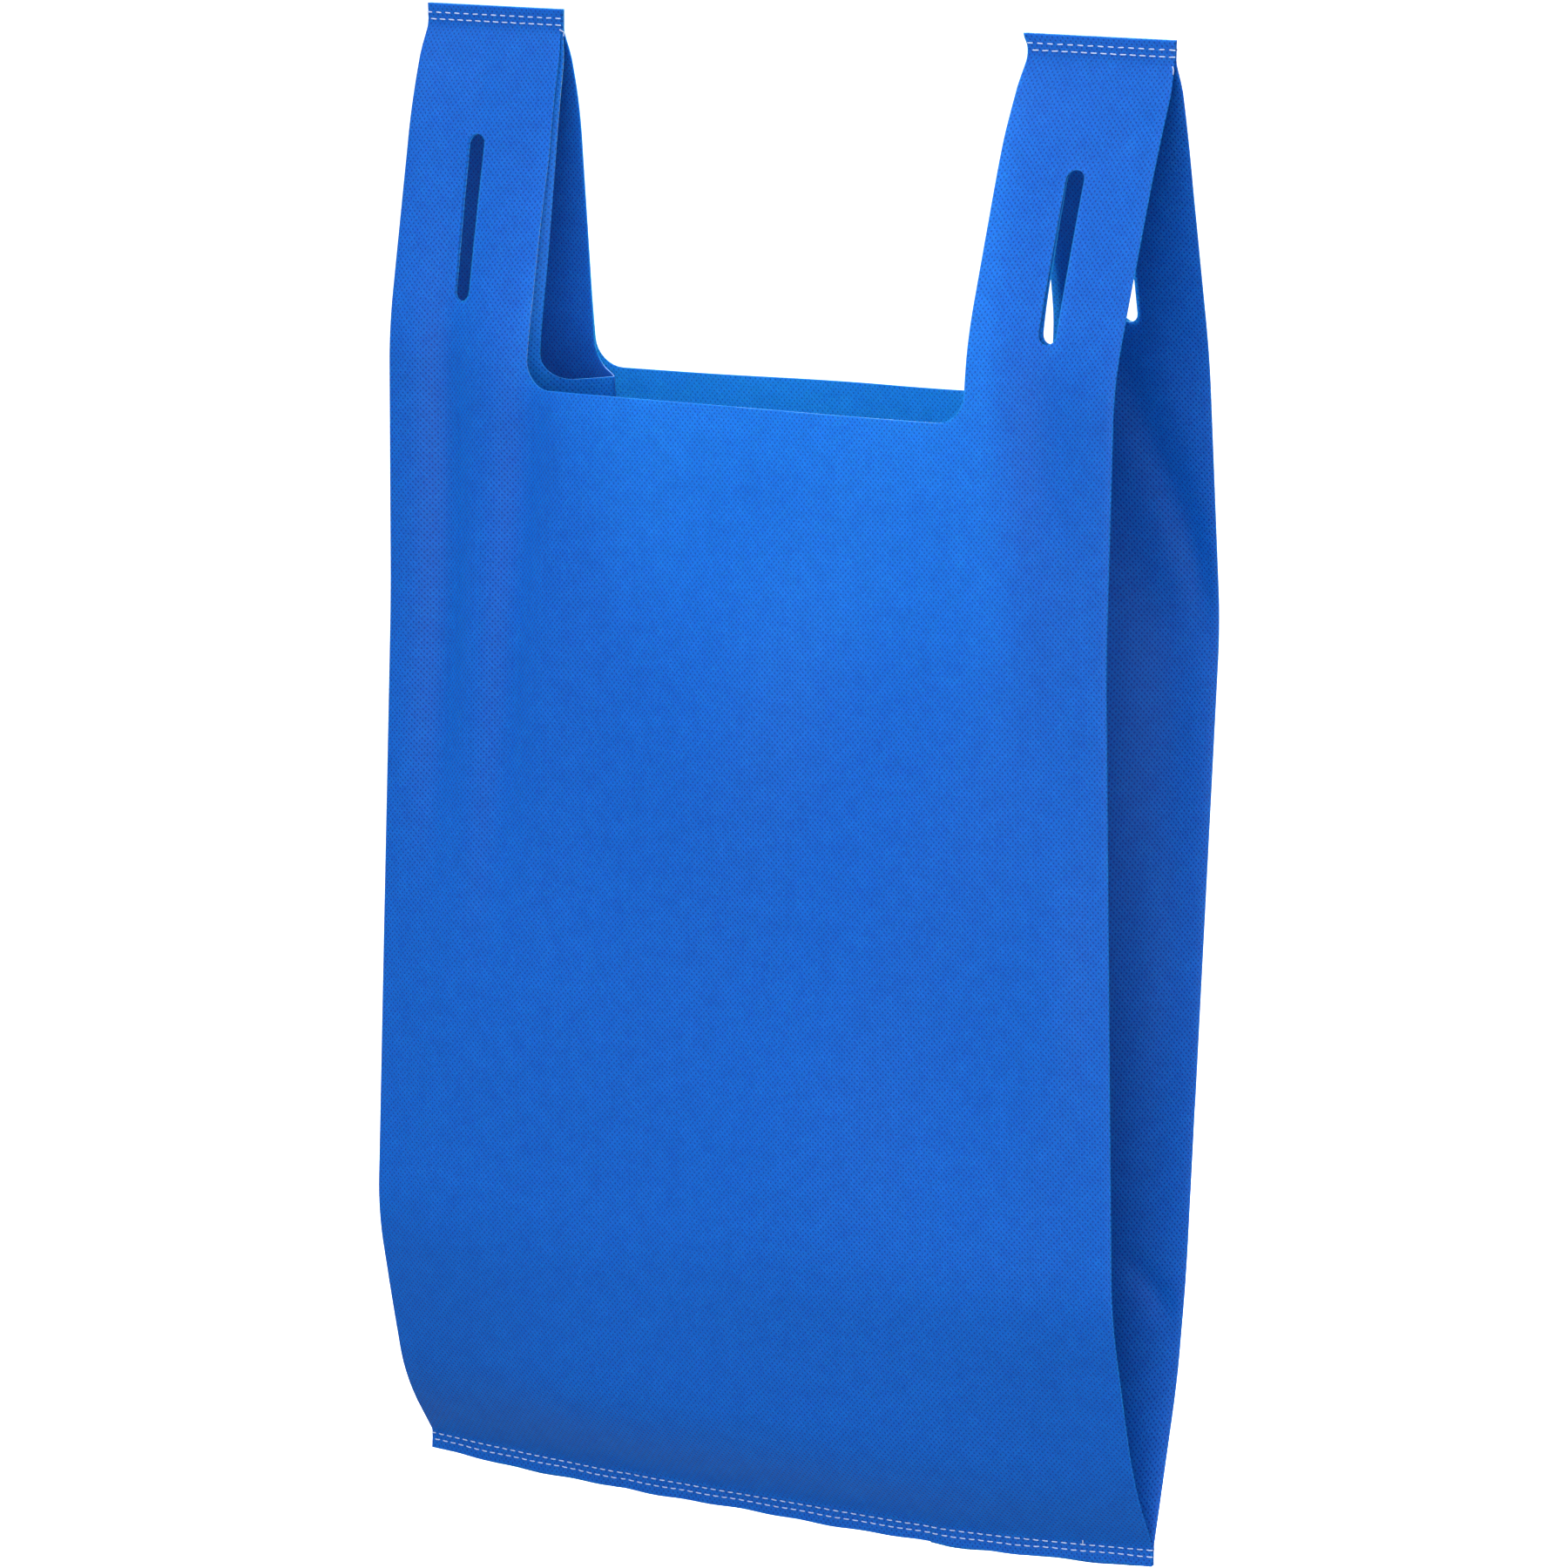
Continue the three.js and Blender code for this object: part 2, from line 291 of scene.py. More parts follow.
def hung_sheet(u, v):
    """Points of the cloth's middle surface before its small creases, for points of the flat sheet."""
    corners = []
    for side in (1, -1):
        start_u = right_front if side > 0 else left_back
        around = gusset(v, side)
        if side < 0:
            around = [(2 * gusset_depth - depth, x, y) for depth, x, y in reversed(around)]
        first, last = around[0], around[-1]
        across = 2 * fold_radius * side
        corners.append((start_u - fold_turn, first[1], first[2] - across))
        corners.append((start_u + fold_turn, first[1], first[2]))
        corners += [(start_u + depth, x, y) for depth, x, y in around[1:-1]]
        corners.append((start_u + 2 * gusset_depth - fold_turn, last[1], last[2]))
        corners.append((start_u + 2 * gusset_depth + fold_turn, last[1], last[2] + across))
    knots = np.array([corner[0] % girth for corner in corners])
    to_line = np.min([abs(u - line) for line in fold_lines], axis=0)
    to_fold = np.min([abs(u - fold) for fold in strap_folds], axis=0)
    opened = np.clip(np.minimum(v, hung_height - v) / opening_length, 0, 1)
    ease = sewn_ease + open_ease * opened + np.minimum(ease_share * to_line, widest_ease * opened)
    x = np.zeros_like(u)
    y = np.zeros_like(u)
    shifts = np.linspace(-1, 1, 9)
    for index, (_, corner_x, corner_y) in enumerate(corners):
        hat = np.eye(len(corners))[index]
        share = np.mean([np.interp(u + ease * k, knots, hat, period=girth) for k in shifts], axis=0)
        x += share * corner_x
        y += share * corner_y

    # The front panel bows out a little, with the gusset halves behind its edges, and the hem sags between
    # its ends and bows to the front.
    share = crown(x, v)
    on_front = (u > left_front) & (u < right_front)
    on_front_half = (u < left_front) | ((u > right_front) & (u < right_inner))
    bowed = np.where(on_front_half, 1 - smooth(to_fold, *letting_go), on_front)
    y -= bowed * hang(v, 0, 4, 5, 6, 6, 4, 1, 0) * share
    y -= hang(v, 8, 8, 4.6, 0, 0, 0, 0, 0) * share
    sag = hang(v, 2.6, 2.6, 1.5, 0, 0, 0, 0, 0) * (1 + 0.8 * smooth(x, 0, 0.1))
    z = v - hung_height - sag * share

    # The straps' free edges curl: the front ones apart, the right back one to the back.
    # The right handle's top flares at its free end.
    free_edge = np.clip(to_fold / strap_width, 0, 1) ** 2
    for on_strap, curl, rise, fall in (
        (on_front & (x < 0), left_curl, (0.470, 0.520), (0.570, 0.625)),
        (on_front & (x > 0), -right_curl, (0.490, 0.530), (0.590, 0.625)),
        (abs(u - right_back) < gusset_depth, back_curl, (0.485, 0.520), (0.570, 0.620)),
    ):
        y += np.where(on_strap, curl, 0) * free_edge * smooth(v, *rise) * (1 - smooth(v, *fall))
    x -= np.where(x > 0, top_flare, 0) * free_edge * smooth(v, 0.629, hung_height)

    # The tension of the seam gathers each handle top, and leaves the hem's raw edge a little uneven.
    handle_middle = np.sign(x) * (panel_width - strap_width) / 2
    x -= top_gather * (x - handle_middle) * smooth(v, 0.613, 0.627)
    uneven = np.sin(2 * math.pi * u / long_waver + 1.0) + 0.7 * np.sin(2 * math.pi * u / short_waver + 2.0)
    in_gusset = smooth(to_line, 0, 0.01) * ~on_panels(u)
    z += (edge_waver * uneven - gusset_overhang * in_gusset) * (1 - smooth(v, 0, 0.009))
    return np.stack([x, y, z], axis=1)


# Relief of the cloth: each crease is a line on the flat sheet, given by its two ends, with half its width
# and its depth, or its height where that is below 0. The waves are given by how often they come around the
# tube and up it, and by where they start.
left_slot = left_front + strap_width / 2
right_slot = right_front - strap_width / 2
creases = (
    ((left_slot - 0.005, 0.545), (left_slot - 0.008, 0.235), 0.011, 0.0062),
    ((left_front + 0.072, 0.500), (left_front + 0.052, 0.235), 0.012, 0.0060),
    ((left_slot, slot_top), (left_slot - 0.001, 0.622), 0.004, 0.0009),
    ((right_slot, slot_top), (right_front, 0.610), 0.006, 0.0012),
    ((right_slot, slot_foot), (right_slot + 0.004, 0.420), 0.012, 0.0018),
    ((right_back, 0.388), (right_back + 0.046, 0.520), 0.009, -0.0030),
    ((right_back + 0.004, 0.100), (right_back + 0.030, 0.125), 0.005, -0.0015),
)
waves = ((7, 1, 0.3), (-5, 2, 1.9), (11, -2, 4.1), (3, 4, 2.6), (-9, 3, 5.2))
wave_height = 0.0007
strap_wave_share = 0.35
groove_depth = 0.00015
groove_width = 0.0008


def crease(u, v, start, end, width, depth):
    """A soft valley in the cloth along a line of the flat sheet, shallow at its ends."""
    start, end = np.array(start), np.array(end)
    run = end - start
    length = np.linalg.norm(run)
    along = ((u - start[0]) * run[0] + (v - start[1]) * run[1]) / length
    across = ((u - start[0]) * run[1] - (v - start[1]) * run[0]) / length
    fade = smooth(along, -0.2 * length, 0.25 * length) * (1 - smooth(along, 0.5 * length, 1.2 * length))
    return -depth * fade * np.exp(-((across / width) ** 2))


def relief(u, v):
    """How far the cloth stands out of its plain hung shape: soft folds, creases, and its own unevenness.

    A gusset half lies against its panel near their fold, so it follows the panel's relief there.
    """
    nearest = np.array(strap_folds)[np.argmin([abs(u - fold) for fold in strap_folds], axis=0)]
    to_fold = abs(u - nearest)
    side = np.where(on_panels(u), 1, smooth(to_fold, *letting_go) - 1)
    u = np.where(on_panels(u), u, 2 * nearest - u)
    free = smooth(to_fold, 0.004, 0.03) * smooth(v, 0.012, 0.06) * smooth(hung_height - v, 0.012, 0.06)
    swell = 0.0
    for around, up, start in waves:
        swell = swell + np.sin(2 * math.pi * (around * u / girth + up * v / hung_height) + start)
    below_neck = strap_wave_share + (1 - strap_wave_share) * smooth(neck_height - v, -0.06, 0.08)
    creased = sum(crease(u, v, *line) for line in creases)
    out = wave_height * swell * free * below_neck + creased * smooth(to_fold, 0.001, 0.012)
    return out * side


def cloth_surface(u, v):
    """Points of the finished cloth's middle surface and its outward normals."""
    u, v = np.asarray(u, float), np.asarray(v, float)
    step = 0.0005
    point = hung_sheet(u, v)
    along_u = hung_sheet(u + step, v) - hung_sheet(u - step, v)
    along_v = hung_sheet(u, v + step) - hung_sheet(u, v - step)
    normal = np.cross(along_u, along_v)
    normal /= np.linalg.norm(normal, axis=1, keepdims=True)
    out = relief(u, v)

    # Between the gussets' inner folds only two layers meet in the hem, so the seam draws them together.
    centre_u = np.where(u < right_inner, (left_front + right_front) / 2, (right_back + left_back) / 2)
    on_panel = on_panels(u)
    gusset_end = panel_width / 2 - gusset_depth
    past_gusset = 1 - smooth(abs(u - centre_u), gusset_end - 0.001, gusset_end + 0.003)
    out = out - np.where(on_panel, past_gusset * layer_pitch * (1 - smooth(v, 0.009, 0.030)), 0)

    # Each row of stitches pulls a fine groove into the outer layers.
    for row in (hem_row, hem_row + row_pitch, handle_row - row_pitch, handle_row):
        out = out - np.where(on_panel, groove_depth * np.exp(-(((v - row) / groove_width) ** 2)), 0)
    return point + normal * out[:, None], normal


cloth_points, _ = cloth_surface(flat[:, 0], flat[:, 1])
cloth_mesh = bpy.data.meshes.new("bag_cloth")
cloth_mesh.from_pydata(cloth_points.tolist(), [], cloth_faces)
flat_layer = cloth_mesh.uv_layers.new(name="flat_sheet")
corner_points = np.empty(len(cloth_mesh.loops), dtype=np.int32)
cloth_mesh.loops.foreach_get("vertex_index", corner_points)
flat_layer.uv.foreach_set("vector", flat[corner_points].astype(np.float32).ravel())

# The tube closes along the left gusset's inner fold, where the sheet's two ends meet.
cloth_build = bmesh.new()
cloth_build.from_mesh(cloth_mesh)
bmesh.ops.remove_doubles(cloth_build, verts=cloth_build.verts, dist=1e-5)
for face in cloth_build.faces:
    face.smooth = True
cloth_build.to_mesh(cloth_mesh)
cloth_build.free()

bag_cloth = bpy.data.objects.new("bag_cloth", cloth_mesh)
bpy.context.collection.objects.link(bag_cloth)
wall = bag_cloth.modifiers.new("thickness", "SOLIDIFY")
wall.thickness = cloth_thickness
wall.offset = 0


def bake_mesh(piece):
    """Turns a piece's modifiers into its plain mesh."""
    evaluated = piece.evaluated_get(bpy.context.evaluated_depsgraph_get())
    mesh = bpy.data.meshes.new_from_object(evaluated)
    piece.modifiers.clear()
    piece.data = mesh
    mesh.name = piece.name
    return mesh


bake_mesh(bag_cloth).set_sharp_from_angle(angle=math.radians(60))


def linear(colour):
    """An sRGB hex colour as linear red, green, blue and alpha."""
    channels = [int(colour[i : i + 2], 16) / 255 for i in (1, 3, 5)]
    return [c / 12.92 if c <= 0.04045 else ((c + 0.055) / 1.055) ** 2.4 for c in channels] + [1.0]


def add(tree, kind, inputs=None, **settings):
    """Adds a node with its settings; an input is given as a value or as the socket that feeds it."""
    made = tree.nodes.new(kind)
    for name, value in settings.items():
        setattr(made, name, value)
    for socket, value in (inputs or {}).items():
        if isinstance(value, bpy.types.NodeSocket):
            tree.links.new(value, made.inputs[socket])
        else:
            made.inputs[socket].default_value = value
    return made


# Spunbond polypropylene, dyed through: a felt of fine fibres, welded by a lattice of small pressed dots.
# To the eye it is a matt cloth with faint clouds where the fibres lie thicker, and a fine diagonal grain
# from the dots, which are smoother and a little darker. A single layer lets some light through.
dot_across = 0.0023
dot_up = 0.0025
cloud_size = 0.009
cloud_share = 0.3
fibre_size = 0.0007
fibre_lift = 0.35
press_depth = 0.00012
press_shade = 0.8

spunbond = bpy.data.materials.new("spunbond_polypropylene")
spunbond.use_nodes = True
tree = spunbond.node_tree
tree.nodes.clear()
sheet_uv = add(tree, "ShaderNodeUVMap", uv_map="flat_sheet").outputs["UV"]
axes = add(tree, "ShaderNodeSeparateXYZ", {"Vector": sheet_uv}).outputs
across = add(tree, "ShaderNodeMath", {0: axes["X"], 1: 2 * math.pi / dot_across}, operation="MULTIPLY")
upward = add(tree, "ShaderNodeMath", {0: axes["Y"], 1: 2 * math.pi / dot_up}, operation="MULTIPLY")
across = add(tree, "ShaderNodeMath", {0: across.outputs[0]}, operation="COSINE")
upward = add(tree, "ShaderNodeMath", {0: upward.outputs[0]}, operation="COSINE")
lattice = add(tree, "ShaderNodeMath", {0: across.outputs[0], 1: upward.outputs[0]}, operation="MULTIPLY")
dots = add(
    tree,
    "ShaderNodeMapRange",
    {"Value": lattice.outputs[0], "From Min": 0.15, "From Max": 0.85},
    interpolation_type="SMOOTHSTEP",
).outputs[0]
clouds = add(
    tree,
    "ShaderNodeTexNoise",
    {"Vector": sheet_uv, "Scale": 1 / cloud_size, "Detail": 4.0, "Roughness": 0.65},
).outputs["Fac"]
fibres = add(
    tree,
    "ShaderNodeTexNoise",
    {"Vector": sheet_uv, "Scale": 1 / fibre_size, "Detail": 2.0, "Distortion": 1.5},
).outputs["Fac"]
faint_clouds = add(tree, "ShaderNodeMath", {0: clouds, 1: cloud_share}, operation="MULTIPLY").outputs[0]
matted = add(
    tree,
    "ShaderNodeMath",
    {0: fibres, 1: 1 - cloud_share, 2: faint_clouds},
    operation="MULTIPLY_ADD",
).outputs[0]
thickness = add(tree, "ShaderNodeMapRange", {"Value": matted, "From Min": 0.3, "From Max": 0.7}).outputs[0]
felt = add(
    tree,
    "ShaderNodeMix",
    {0: thickness, 6: linear("#034fab"), 7: linear("#0867cc")},
    data_type="RGBA",
).outputs[2]
pressed = add(tree, "ShaderNodeMath", {0: dots, 1: press_shade}, operation="MULTIPLY").outputs[0]
cloth_colour = add(
    tree,
    "ShaderNodeMix",
    {0: pressed, 6: felt, 7: linear("#023483")},
    data_type="RGBA",
).outputs[2]
cloth_roughness = add(
    tree,
    "ShaderNodeMapRange",
    {"Value": dots, "To Min": 0.6, "To Max": 0.4},
).outputs[0]
raised = add(tree, "ShaderNodeMath", {0: fibres, 1: fibre_lift}, operation="MULTIPLY").outputs[0]
raised = add(tree, "ShaderNodeMath", {0: raised, 1: dots}, operation="SUBTRACT").outputs[0]
pressed_relief = add(
    tree, "ShaderNodeBump", {"Strength": 0.8, "Distance": press_depth, "Height": raised}
).outputs["Normal"]
shader = add(
    tree,
    "ShaderNodeBsdfPrincipled",
    {
        "Base Color": cloth_colour,
        "Roughness": cloth_roughness,
        "IOR": 1.49,
        "Specular IOR Level": 0.185,
        "Normal": pressed_relief,
        "Subsurface Weight": 1.0,
        "Subsurface Radius": (1.0, 0.77, 0.72),
        "Subsurface Scale": 0.003,
    },
)
add(tree, "ShaderNodeOutputMaterial", {"Surface": shader.outputs[0]})
bag_cloth.data.materials.clear()
bag_cloth.data.materials.append(spunbond)

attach(bag_cloth, "root")
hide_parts("bag_body")


# Sewing thread: two rows of lockstitch close each handle top and the hem through all the layers.
# Pale twisted polyester; the needle thread lies along the front and the bobbin thread along the back,
# and the lower row stands half a stitch along from the upper one. One end is left loose at each seam.
thread_diameter = 0.00052
stitch_pitch = 0.0042
stitch_length = 0.0027
stitch_arch = 0.0004
stitch_wander = math.radians(4)
seam_inset = 0.0015
thread_plies = 3
stitch_turns = 3.0

thread = bpy.data.materials.new("twisted_polyester_thread")
thread.use_nodes = True
tree = thread.node_tree
tree.nodes.clear()
thread_uv = add(tree, "ShaderNodeUVMap", uv_map="thread_uv").outputs["UV"]
axes = add(tree, "ShaderNodeSeparateXYZ", {"Vector": thread_uv}).outputs
lay = add(
    tree,
    "ShaderNodeMath",
    {0: axes["X"], 1: stitch_turns, 2: axes["Y"]},
    operation="MULTIPLY_ADD",
).outputs[0]
lay = add(tree, "ShaderNodeMath", {0: lay, 1: 2 * math.pi * thread_plies}, operation="MULTIPLY").outputs[0]
plies = add(tree, "ShaderNodeMath", {0: lay}, operation="SINE").outputs[0]
# Painted shade: the thread's colour is darker in the furrows between its plies, where shade falls, and pale
# on their crowns.
painted_furrow_shade = add(
    tree,
    "ShaderNodeMapRange",
    {"Value": plies, "From Min": -1.0, "From Max": -0.3, "To Min": 1.0, "To Max": 0.0},
).outputs[0]
thread_colour = add(
    tree,
    "ShaderNodeMix",
    {0: painted_furrow_shade, 6: linear("#c4d5f3"), 7: linear("#7f9fd6")},
    data_type="RGBA",
).outputs[2]
twist = add(
    tree, "ShaderNodeBump", {"Strength": 0.6, "Distance": thread_diameter / 8, "Height": plies}
).outputs["Normal"]
shader = add(
    tree,
    "ShaderNodeBsdfPrincipled",
    {
        "Base Color": thread_colour,
        "Roughness": 0.5,
        "IOR": 1.57,
        "Normal": twist,
        "Sheen Weight": 0.2,
        "Sheen Roughness": 0.4,
    },
)
add(tree, "ShaderNodeOutputMaterial", {"Surface": shader.outputs[0]})

# Geometry Nodes set one stitch after another along each row, and draw the loose end as a plain tube.
stitching = bpy.data.node_groups.new("lockstitch", "GeometryNodeTree")
for name, kind in (
    ("Rows", "Geometry"),
    ("Pitch", "Float"),
    ("Stitch Length", "Float"),
    ("Arch", "Float"),
    ("Thread Radius", "Float"),
    ("Wander", "Float"),
    ("Seed", "Int"),
    ("Thread", "Material"),
):
    stitching.interface.new_socket(name, in_out="INPUT", socket_type="NodeSocket" + kind)
stitching.interface.new_socket("Stitches", in_out="OUTPUT", socket_type="NodeSocketGeometry")
given = add(stitching, "NodeGroupInput").outputs
loose = add(stitching, "GeometryNodeInputNamedAttribute", {"Name": "loose"}, data_type="BOOLEAN").outputs[0]
outward = add(
    stitching, "GeometryNodeInputNamedAttribute", {"Name": "outward"}, data_type="FLOAT_VECTOR"
).outputs[0]
rows_apart = add(stitching, "GeometryNodeSeparateGeometry", {"Geometry": given["Rows"], "Selection": loose})
tails = add(stitching, "GeometryNodeMeshToCurve", {"Mesh": rows_apart.outputs["Selection"]}).outputs[0]
sewn = add(stitching, "GeometryNodeMeshToCurve", {"Mesh": rows_apart.outputs["Inverted"]}).outputs[0]
places = add(
    stitching, "GeometryNodeResampleCurve", {"Curve": sewn, "Length": given["Pitch"]}, mode="LENGTH"
).outputs[0]

half_stitch = add(
    stitching, "ShaderNodeMath", {0: given["Stitch Length"], 1: 0.5}, operation="MULTIPLY"
).outputs[0]
half_back = add(stitching, "ShaderNodeMath", {0: half_stitch, 1: -1.0}, operation="MULTIPLY").outputs[0]
dip = add(stitching, "ShaderNodeMath", {0: given["Arch"], 1: -0.5}, operation="MULTIPLY").outputs[0]
crest = add(stitching, "ShaderNodeMath", {0: given["Arch"], 1: 1.5}, operation="MULTIPLY").outputs[0]
stitch_line = add(
    stitching,
    "GeometryNodeCurveQuadraticBezier",
    {
        "Resolution": 6,
        "Start": add(stitching, "ShaderNodeCombineXYZ", {"X": half_back, "Z": dip}).outputs[0],
        "Middle": add(stitching, "ShaderNodeCombineXYZ", {"Z": crest}).outputs[0],
        "End": add(stitching, "ShaderNodeCombineXYZ", {"X": half_stitch, "Z": dip}).outputs[0],
    },
).outputs[0]
section = add(
    stitching, "GeometryNodeCurvePrimitiveCircle", {"Resolution": 6, "Radius": given["Thread Radius"]}
).outputs[0]


def thread_tube(line):
    """Nodes for a thread along a line, with its length and its turn kept as a UV map for the twist."""
    parts = []
    for curve in (line, section):
        parameter = add(stitching, "GeometryNodeSplineParameter").outputs["Factor"]
        kept = add(
            stitching,
            "GeometryNodeStoreNamedAttribute",
            {"Geometry": curve, "Name": f"thread_part_{len(parts)}", "Value": parameter},
            data_type="FLOAT",
            domain="POINT",
        )
        parts.append(kept.outputs[0])
    tube = add(
        stitching,
        "GeometryNodeCurveToMesh",
        {"Curve": parts[0], "Profile Curve": parts[1], "Fill Caps": True},
    ).outputs[0]
    length, turn = (
        add(stitching, "GeometryNodeInputNamedAttribute", {"Name": name}, data_type="FLOAT").outputs[0]
        for name in ("thread_part_0", "thread_part_1")
    )
    place = add(stitching, "ShaderNodeCombineXYZ", {"X": length, "Y": turn}).outputs[0]
    return add(
        stitching,
        "GeometryNodeStoreNamedAttribute",
        {"Geometry": tube, "Name": "thread_uv", "Value": place},
        data_type="FLOAT2",
        domain="CORNER",
    ).outputs[0]


tangent = add(stitching, "GeometryNodeInputTangent").outputs[0]
facing = add(
    stitching,
    "FunctionNodeAxesToRotation",
    {"Primary Axis": tangent, "Secondary Axis": outward},
    primary_axis="X",
    secondary_axis="Z",
).outputs[0]
least = add(stitching, "ShaderNodeMath", {0: given["Wander"], 1: -1.0}, operation="MULTIPLY").outputs[0]
wander = add(
    stitching,
    "FunctionNodeRandomValue",
    {
        0: add(stitching, "ShaderNodeCombineXYZ", {"Z": least}).outputs[0],
        1: add(stitching, "ShaderNodeCombineXYZ", {"Z": given["Wander"]}).outputs[0],
        "Seed": given["Seed"],
    },
    data_type="FLOAT_VECTOR",
).outputs[0]
turned = add(stitching, "FunctionNodeEulerToRotation", {0: wander}).outputs[0]
facing = add(
    stitching,
    "FunctionNodeRotateRotation",
    {"Rotation": facing, "Rotate By": turned},
    rotation_space="LOCAL",
).outputs[0]
stitches = add(
    stitching,
    "GeometryNodeInstanceOnPoints",
    {"Points": places, "Instance": thread_tube(stitch_line), "Rotation": facing},
).outputs[0]
stitches = add(stitching, "GeometryNodeRealizeInstances", {"Geometry": stitches}).outputs[0]
joined = add(stitching, "GeometryNodeJoinGeometry")
stitching.links.new(stitches, joined.inputs[0])
stitching.links.new(thread_tube(tails), joined.inputs[0])
smooth_thread = add(stitching, "GeometryNodeSetShadeSmooth", {"Geometry": joined.outputs[0]}).outputs[0]
finished = add(
    stitching, "GeometryNodeSetMaterial", {"Geometry": smooth_thread, "Material": given["Thread"]}
).outputs[0]
add(stitching, "NodeGroupOutput", {"Stitches": finished})


def row_path(start_u, end_u, height):
    """Points along one row on the outer face of the cloth, and the outward normals there."""
    u = np.linspace(start_u, end_u, max(round(abs(end_u - start_u) / mesh_step), 2) + 1)
    point, normal = cloth_surface(u, np.full_like(u, height))
    return point + normal * cloth_thickness / 2, normal


def sew(name, front, back, upper_row, tail, seed):
    """One seam's stitches: two rows on the front and two on the back, with one loose thread end.

    The rows run between two places around the tube. The loose end leaves the cloth at its own place and
    height, and bends at the offsets given.
    """
    points, edges, normals, loose_points = [], [], [], []
    for start_u, end_u in (front, back):
        direction = 1 if end_u > start_u else -1
        for row in range(2):
            shift = direction * row * stitch_pitch / 2
            path, normal = row_path(start_u + shift, end_u, upper_row - row * row_pitch)
            first = len(points)
            points += path.tolist()
            normals += normal.tolist()
            loose_points += [False] * len(path)
            edges += [(i, i + 1) for i in range(first, first + len(path) - 1)]
    tail_u, tail_v, offsets = tail
    root, normal = cloth_surface([tail_u], [tail_v])
    first = len(points)
    for offset in ((0, 0, 0), *offsets):
        points.append((root[0] + normal[0] * cloth_thickness + np.array(offset)).tolist())
        normals.append(normal[0].tolist())
        loose_points.append(True)
    edges += [(i, i + 1) for i in range(first, len(points) - 1)]
    mesh = bpy.data.meshes.new(name)
    mesh.from_pydata(points, edges, [])
    mesh.attributes.new("outward", "FLOAT_VECTOR", "POINT").data.foreach_set("vector", np.ravel(normals))
    mesh.attributes.new("loose", "BOOLEAN", "POINT").data.foreach_set("value", loose_points)
    piece = bpy.data.objects.new(name, mesh)
    bpy.context.collection.objects.link(piece)
    sewing = piece.modifiers.new("lockstitch", "NODES")
    sewing.node_group = stitching
    sizes = {
        "Pitch": stitch_pitch,
        "Stitch Length": stitch_length,
        "Arch": stitch_arch,
        "Thread Radius": thread_diameter / 2,
        "Wander": stitch_wander,
        "Seed": seed,
        "Thread": thread,
    }
    for item in stitching.interface.items_tree:
        if item.name in sizes:
            sewing[item.identifier] = sizes[item.name]
    bake_mesh(piece)
    for part in ("thread_part_0", "thread_part_1", "outward", "loose"):
        if part in piece.data.attributes:
            piece.data.attributes.remove(piece.data.attributes[part])
    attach(piece, "root")
    seam = name.removesuffix("_stitching")
    threads = [f"{seam}_{row}_{side}_thread" for row in ("upper", "lower") for side in ("needle", "bobbin")]
    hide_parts(*threads)
    return piece


hem_stitching = sew(
    "hem_stitching",
    (left_front + seam_inset, right_front - seam_inset),
    (right_back + seam_inset, left_back - seam_inset),
    hem_row + row_pitch,
    (right_front - 0.031, 0.0075, [(0.0003, -0.0004, 0.0008), (0.0002, -0.0005, 0.0015)]),
    11,
)
left_handle_stitching = sew(
    "left_handle_stitching",
    (left_front + seam_inset, left_front + strap_width - seam_inset),
    (left_back - strap_width + seam_inset, left_back - seam_inset),
    handle_row,
    (left_front + strap_width - 0.0005, 0.6265, [(0.0022, 0, -0.001), (0.0016, 0.0005, -0.0026)]),
    23,
)
right_handle_stitching = sew(
    "right_handle_stitching",
    (right_front - strap_width + seam_inset, right_front - seam_inset),
    (right_back + seam_inset, right_back + strap_width - seam_inset),
    handle_row,
    (right_front - 0.0008, 0.6245, [(0.0006, -0.0004, -0.0014), (0.0004, -0.0004, -0.0032)]),
    37,
)


# Studio: a white room with a wide pale floor well below the hem, which sends no light back up. The key
# light stands close by on the right, which leaves the left darker, under a soft light from above. One light
# behind shines through the cloth, and another one down into the bag's mouth.
floor_drop = 0.45
floor_reach = 40.0
floor_height = -hung_height - floor_drop
room_light = 0.43
ceiling_power = 3.7
mouth_depth = 0.05

floor_mesh = bpy.data.meshes.new("floor")
floor_sides = ((-1, -1), (1, -1), (1, 1), (-1, 1))
floor_corners = [(x * floor_reach, y * floor_reach, floor_height) for x, y in floor_sides]
floor_mesh.from_pydata(floor_corners, [], [(0, 1, 2, 3)])
floor = bpy.data.objects.new("floor", floor_mesh)
bpy.context.collection.objects.link(floor)
paint = bpy.data.materials.new("matt_white_paint")
paint.use_nodes = True
paint_shader = paint.node_tree.nodes["Principled BSDF"]
paint_shader.inputs["Base Color"].default_value = linear("#f6f7f8")
paint_shader.inputs["Roughness"].default_value = 0.9
paint_shader.inputs["Specular IOR Level"].default_value = 0.1
floor_mesh.materials.append(paint)
floor.visible_diffuse = False
floor.visible_glossy = False

room = bpy.data.worlds.new("white_room")
room.use_nodes = True
room_tree = room.node_tree
seen = add(room_tree, "ShaderNodeLightPath").outputs["Is Camera Ray"]
glow = add(room_tree, "ShaderNodeMapRange", {"Value": seen, "To Min": room_light, "To Max": 1.0}).outputs[0]
room_tree.nodes["Background"].inputs["Color"].default_value = linear("#ffffff")
room_tree.links.new(glow, room_tree.nodes["Background"].inputs["Strength"])
bpy.context.scene.world = room
bpy.context.scene.view_settings.view_transform = "Standard"


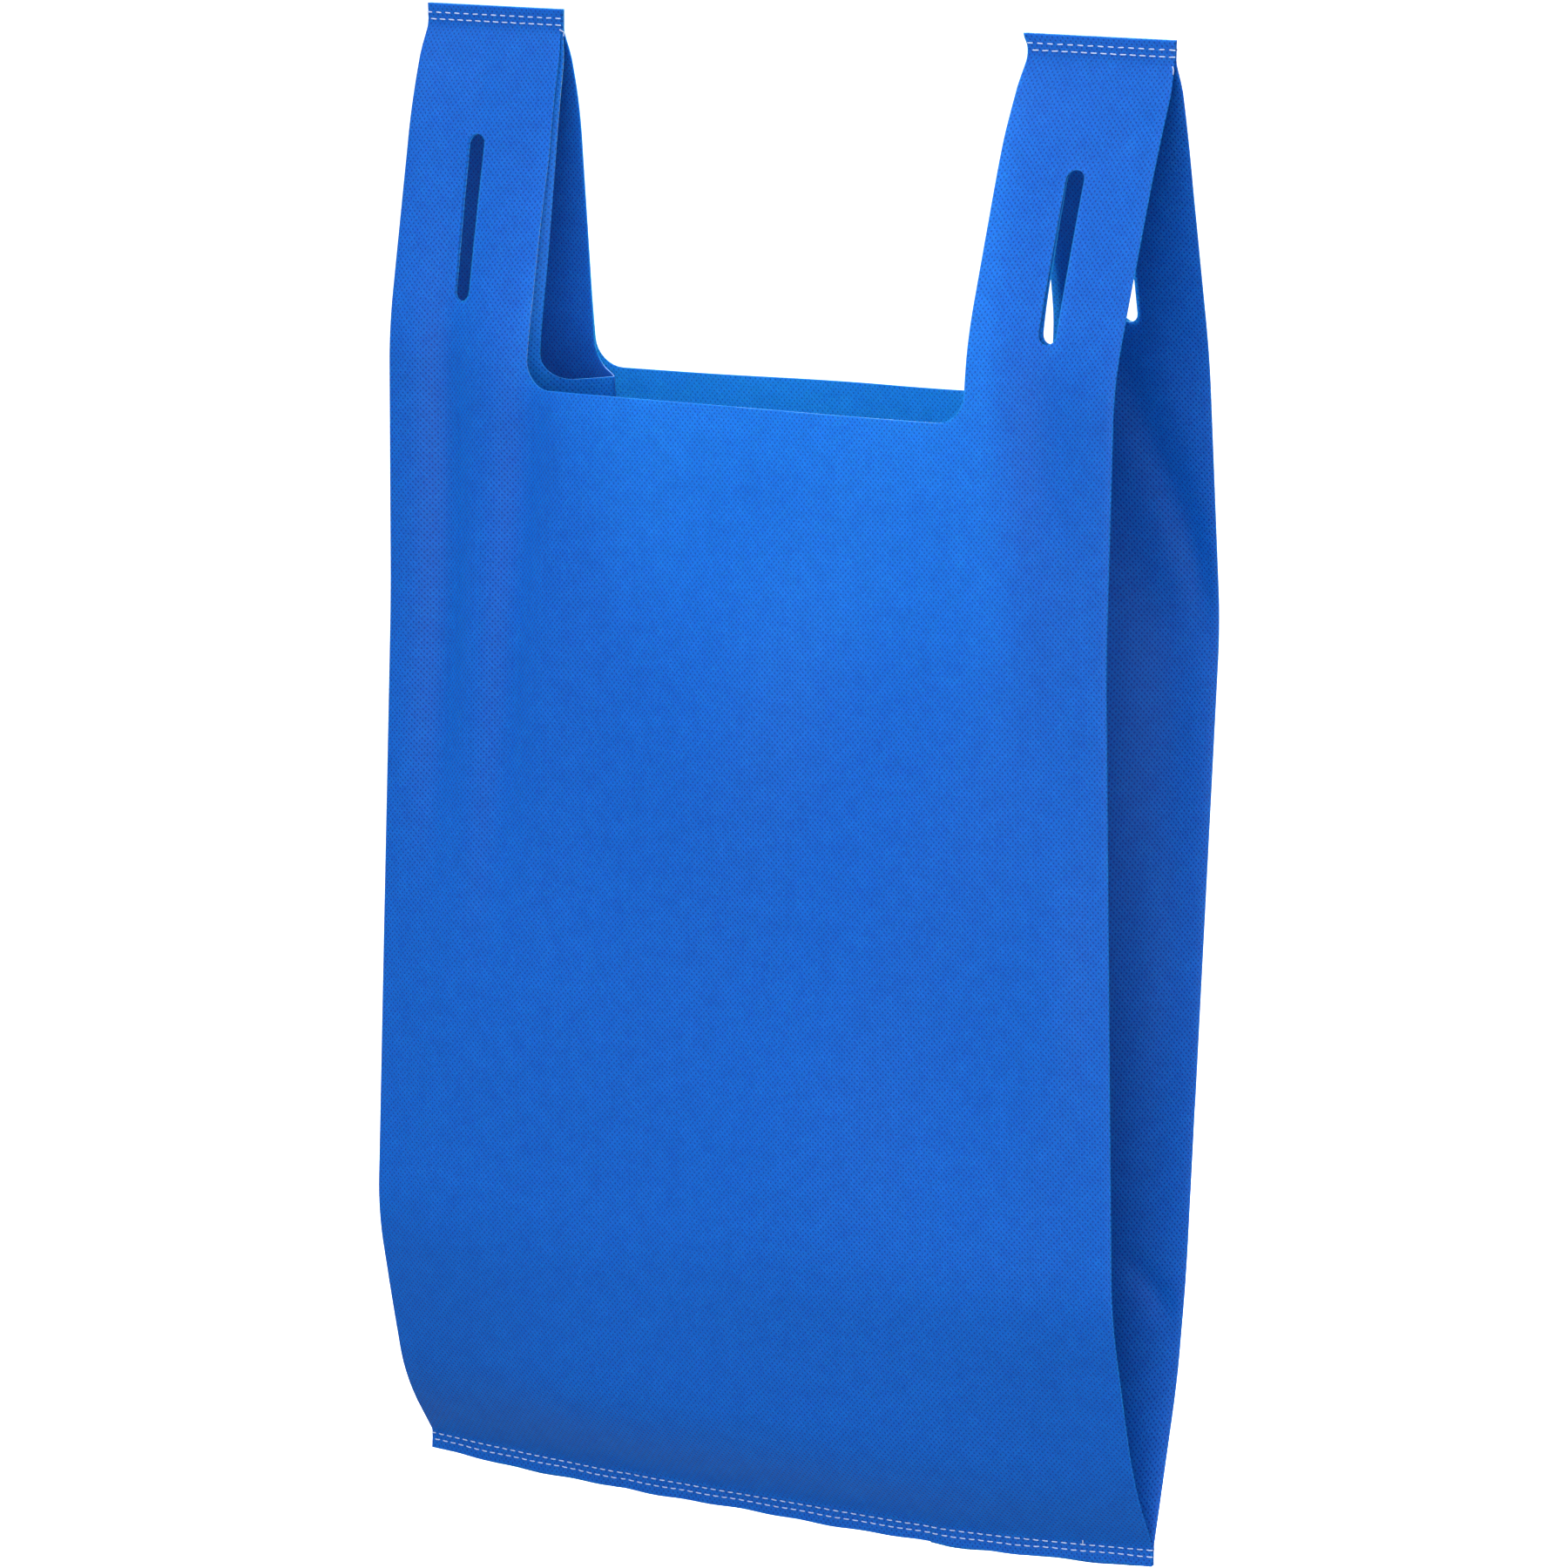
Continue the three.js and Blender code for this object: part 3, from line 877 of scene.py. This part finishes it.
def softbox(name, place, aim, size, power):
    """A square area light at one place, facing another."""
    light = bpy.data.lights.new(name, "AREA")
    light.size = size
    light.energy = power
    lamp = bpy.data.objects.new(name, light)
    lamp.location = place
    lamp.rotation_euler = (Vector(aim) - Vector(place)).to_track_quat("-Z", "Y").to_euler()
    bpy.context.collection.objects.link(lamp)


bag_middle = (0, 0, -hung_height / 2)
bag_mouth = (0, 0, neck_height - hung_height - mouth_depth)
softbox("key_softbox", (0.5, -1.4, -0.2), bag_middle, 0.8, 16.8)
softbox("side_softbox", (2.4, -0.6, 0.2), bag_middle, 1.2, 2)
softbox("backdrop_softbox", (-0.3, 2.4, -0.2), bag_middle, 2.0, 45)
softbox("mouth_softbox", (-0.9, 1.3, 1.4), bag_mouth, 0.8, 48)

ceiling_light = bpy.data.lights.new("ceiling_light", "SUN")
ceiling_light.energy = ceiling_power
ceiling_light.angle = math.radians(70)
ceiling_lamp = bpy.data.objects.new("ceiling_light", ceiling_light)
ceiling_lamp.rotation_euler = Vector((0.0, 0.25, -1.0)).to_track_quat("-Z", "Y").to_euler()
bpy.context.collection.objects.link(ceiling_lamp)


# Camera: a long lens from the front right, a little above the middle of the bag, as in the photograph.
# Its place was fitted to the bag's corners, so its angles and distance aren't round numbers.
view_azimuth = math.radians(27.931)
view_elevation = math.radians(11.331)
view_roll = math.radians(0.328)
view_distance = 2.8259
view_target = Vector((-0.0016, 0, 0.3151 - hung_height))
focal_share = 4.2892

camera_data = bpy.data.cameras.new("camera")
camera_data.sensor_width = 36
camera_data.lens = camera_data.sensor_width * focal_share
camera = bpy.data.objects.new("camera", camera_data)
bpy.context.collection.objects.link(camera)
level_right = Vector((math.cos(view_azimuth), math.sin(view_azimuth), 0))
to_camera = Vector((
    math.sin(view_azimuth) * math.cos(view_elevation),
    -math.cos(view_azimuth) * math.cos(view_elevation),
    math.sin(view_elevation),
))
level_up = to_camera.cross(level_right)
camera_right = level_right * math.cos(view_roll) + level_up * math.sin(view_roll)
camera_up = level_up * math.cos(view_roll) - level_right * math.sin(view_roll)
camera.location = view_target + to_camera * view_distance
camera.rotation_euler = Matrix((camera_right, camera_up, to_camera)).transposed().to_euler()
bpy.context.scene.camera = camera
